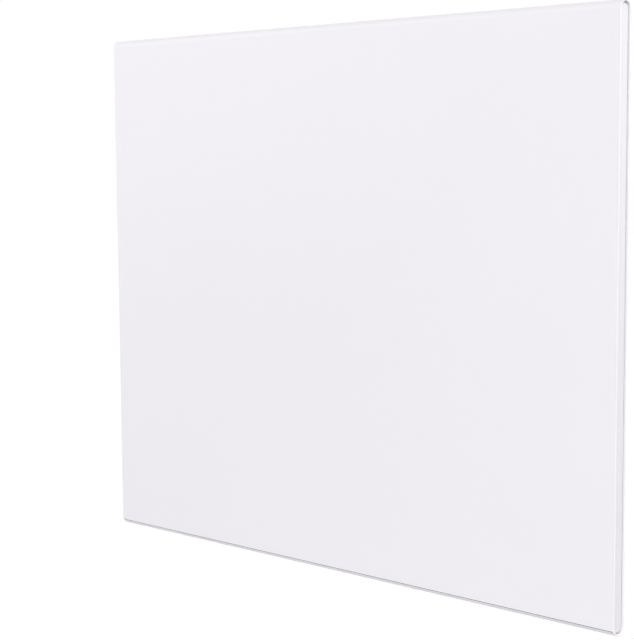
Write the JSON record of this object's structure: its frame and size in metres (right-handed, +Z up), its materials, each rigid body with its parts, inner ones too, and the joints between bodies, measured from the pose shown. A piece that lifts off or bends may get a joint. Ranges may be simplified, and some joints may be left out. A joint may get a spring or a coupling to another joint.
{
  "type": "wall panel convector heater",
  "caption": "Slim white wall panel convector heater with slanted body ends, slotted top outlet, hinged control flap over push keys and display, rocker switch, and hook-on wall bracket.",
  "frame": {"origin": "middle of the four wall screw holes, on the wall's surface", "axes": "+X to the right seen from the room, along the heater's width; +Y from the heater into the wall; +Z up"},
  "size_m": [0.52, 0.082, 0.43],
  "materials": {
    "panel_paint": "smooth satin white powder coat",
    "white_moulding": "fine satin white moulding",
    "grey_moulding": "fine grained light grey moulding",
    "casing_paint": "semi gloss white paint",
    "flap_moulding": "smooth glossy white moulding",
    "key_cap": "smooth white key cap",
    "window_tint": "dark tinted clear window",
    "display_face": "dark display with glowing digits",
    "lit_lens": "clear lens glowing blue",
    "unlit_lens": "clear lens, not lit",
    "circuit_green": "green solder resist",
    "key_rubber": "translucent grey silicone",
    "zinc_steel": "bright zinc plate",
    "element_steel": "dull sheathed steel",
    "fin_aluminium": "plain mill finish",
    "bush_ceramic": "unglazed white ceramic",
    "black_part": "plain black moulding",
    "relay_blue": "smooth blue case",
    "transformer_core": "varnished laminations",
    "block_cream": "plain cream moulding",
    "tab_brass": "plain brass",
    "rocker_white": "smooth warm white moulding",
    "switch_white": "smooth white moulding",
    "gland_grey": "plain grey nylon",
    "brown_wire": "plain brown insulation",
    "black_wire": "plain black insulation",
    "red_wire": "plain red insulation",
    "blue_wire": "plain blue insulation",
    "earth_wire": "green and yellow insulation",
    "ribbon_grey": "grey flat cable"
  },
  "bodies": {
    "heater": {"front_panel": "panel_paint", "end_cap_right": "white_moulding", "end_cap_left": "white_moulding", "end_right": "white_moulding", "end_left": "white_moulding", "rear_casing": "casing_paint", "outlet_grille": "casing_paint", "inlet_grille": "casing_paint", "control_tray": "grey_moulding", "control_fascia": "grey_moulding", "display_window": "window_tint", "display_module": "display_face", "lights_lit": "lit_lens", "light_unlit": "unlit_lens", "control_board": "circuit_green", "board_screws": "zinc_steel", "key_switches": "black_part", "key_mat": "key_rubber", "flap_pins": "zinc_steel", "switch_body": "switch_white", "rocker_pin": "zinc_steel", "switch_tabs": "tab_brass", "panel_clips": "zinc_steel", "side_screws": "black_part", "casing_screws": "zinc_steel", "element_rod": "element_steel", "element_fins": "fin_aluminium", "element_studs": "zinc_steel", "element_bushes": "bush_ceramic", "element_brackets": "zinc_steel", "heat_baffle": "fin_aluminium", "thermal_cutout": "bush_ceramic", "power_board": "circuit_green", "board_spacers": "gland_grey", "relay": "relay_blue", "transformer": "transformer_core", "capacitor": "black_part", "heat_sink": "fin_aluminium", "board_sockets": "block_cream", "ribbon": "ribbon_grey", "terminal_block": "block_cream", "terminal_screws": "zinc_steel", "cord_gland": "gland_grey", "earth_tag": "zinc_steel", "sensor_holder": "gland_grey", "room_sensor": "black_part", "wire_live": "brown_wire", "wire_switched": "black_wire", "wire_heater": "red_wire", "wire_neutral": "blue_wire", "wire_earth": "earth_wire", "wall_bracket": "zinc_steel"},
    "flap_cover": {"flap": "flap_moulding"},
    "rocker_switch": {"rocker": "rocker_white"},
    "key_lock": {"button_lock": "key_cap"},
    "key_mode": {"button_mode": "key_cap"},
    "key_power": {"button_power": "key_cap"},
    "key_timer": {"button_timer": "key_cap"},
    "key_minus": {"button_minus": "key_cap"},
    "key_plus": {"button_plus": "key_cap"}
  },
  "joints": [
    {"name": "flap_hinge", "type": "hinge", "parent": "heater", "child": "flap_cover", "pos_m": [0.15, -0.0186, 0.2015], "axis": [-1, 0, 0], "range_deg": [0, 95]},
    {"name": "rocker_pivot", "type": "hinge", "parent": "heater", "child": "rocker_switch", "pos_m": [0.222, -0.0407, 0.1441], "axis": [0, 1, 0], "range_deg": [0, 14]},
    {"name": "button_lock_press", "type": "slide", "parent": "heater", "child": "key_lock", "axis": [0, 0, -1], "range_m": [0, 0.001], "stiffness_N_per_m": 250, "springref_m": -0.0005},
    {"name": "button_mode_press", "type": "slide", "parent": "heater", "child": "key_mode", "axis": [0, 0, -1], "range_m": [0, 0.001], "stiffness_N_per_m": 250, "springref_m": -0.0005},
    {"name": "button_power_press", "type": "slide", "parent": "heater", "child": "key_power", "axis": [0, 0, -1], "range_m": [0, 0.001], "stiffness_N_per_m": 250, "springref_m": -0.0005},
    {"name": "button_timer_press", "type": "slide", "parent": "heater", "child": "key_timer", "axis": [0, 0, -1], "range_m": [0, 0.001], "stiffness_N_per_m": 250, "springref_m": -0.0005},
    {"name": "button_minus_press", "type": "slide", "parent": "heater", "child": "key_minus", "axis": [0, 0, -1], "range_m": [0, 0.001], "stiffness_N_per_m": 250, "springref_m": -0.0005},
    {"name": "button_plus_press", "type": "slide", "parent": "heater", "child": "key_plus", "axis": [0, 0, -1], "range_m": [0, 0.001], "stiffness_N_per_m": 250, "springref_m": -0.0005}
  ]
}
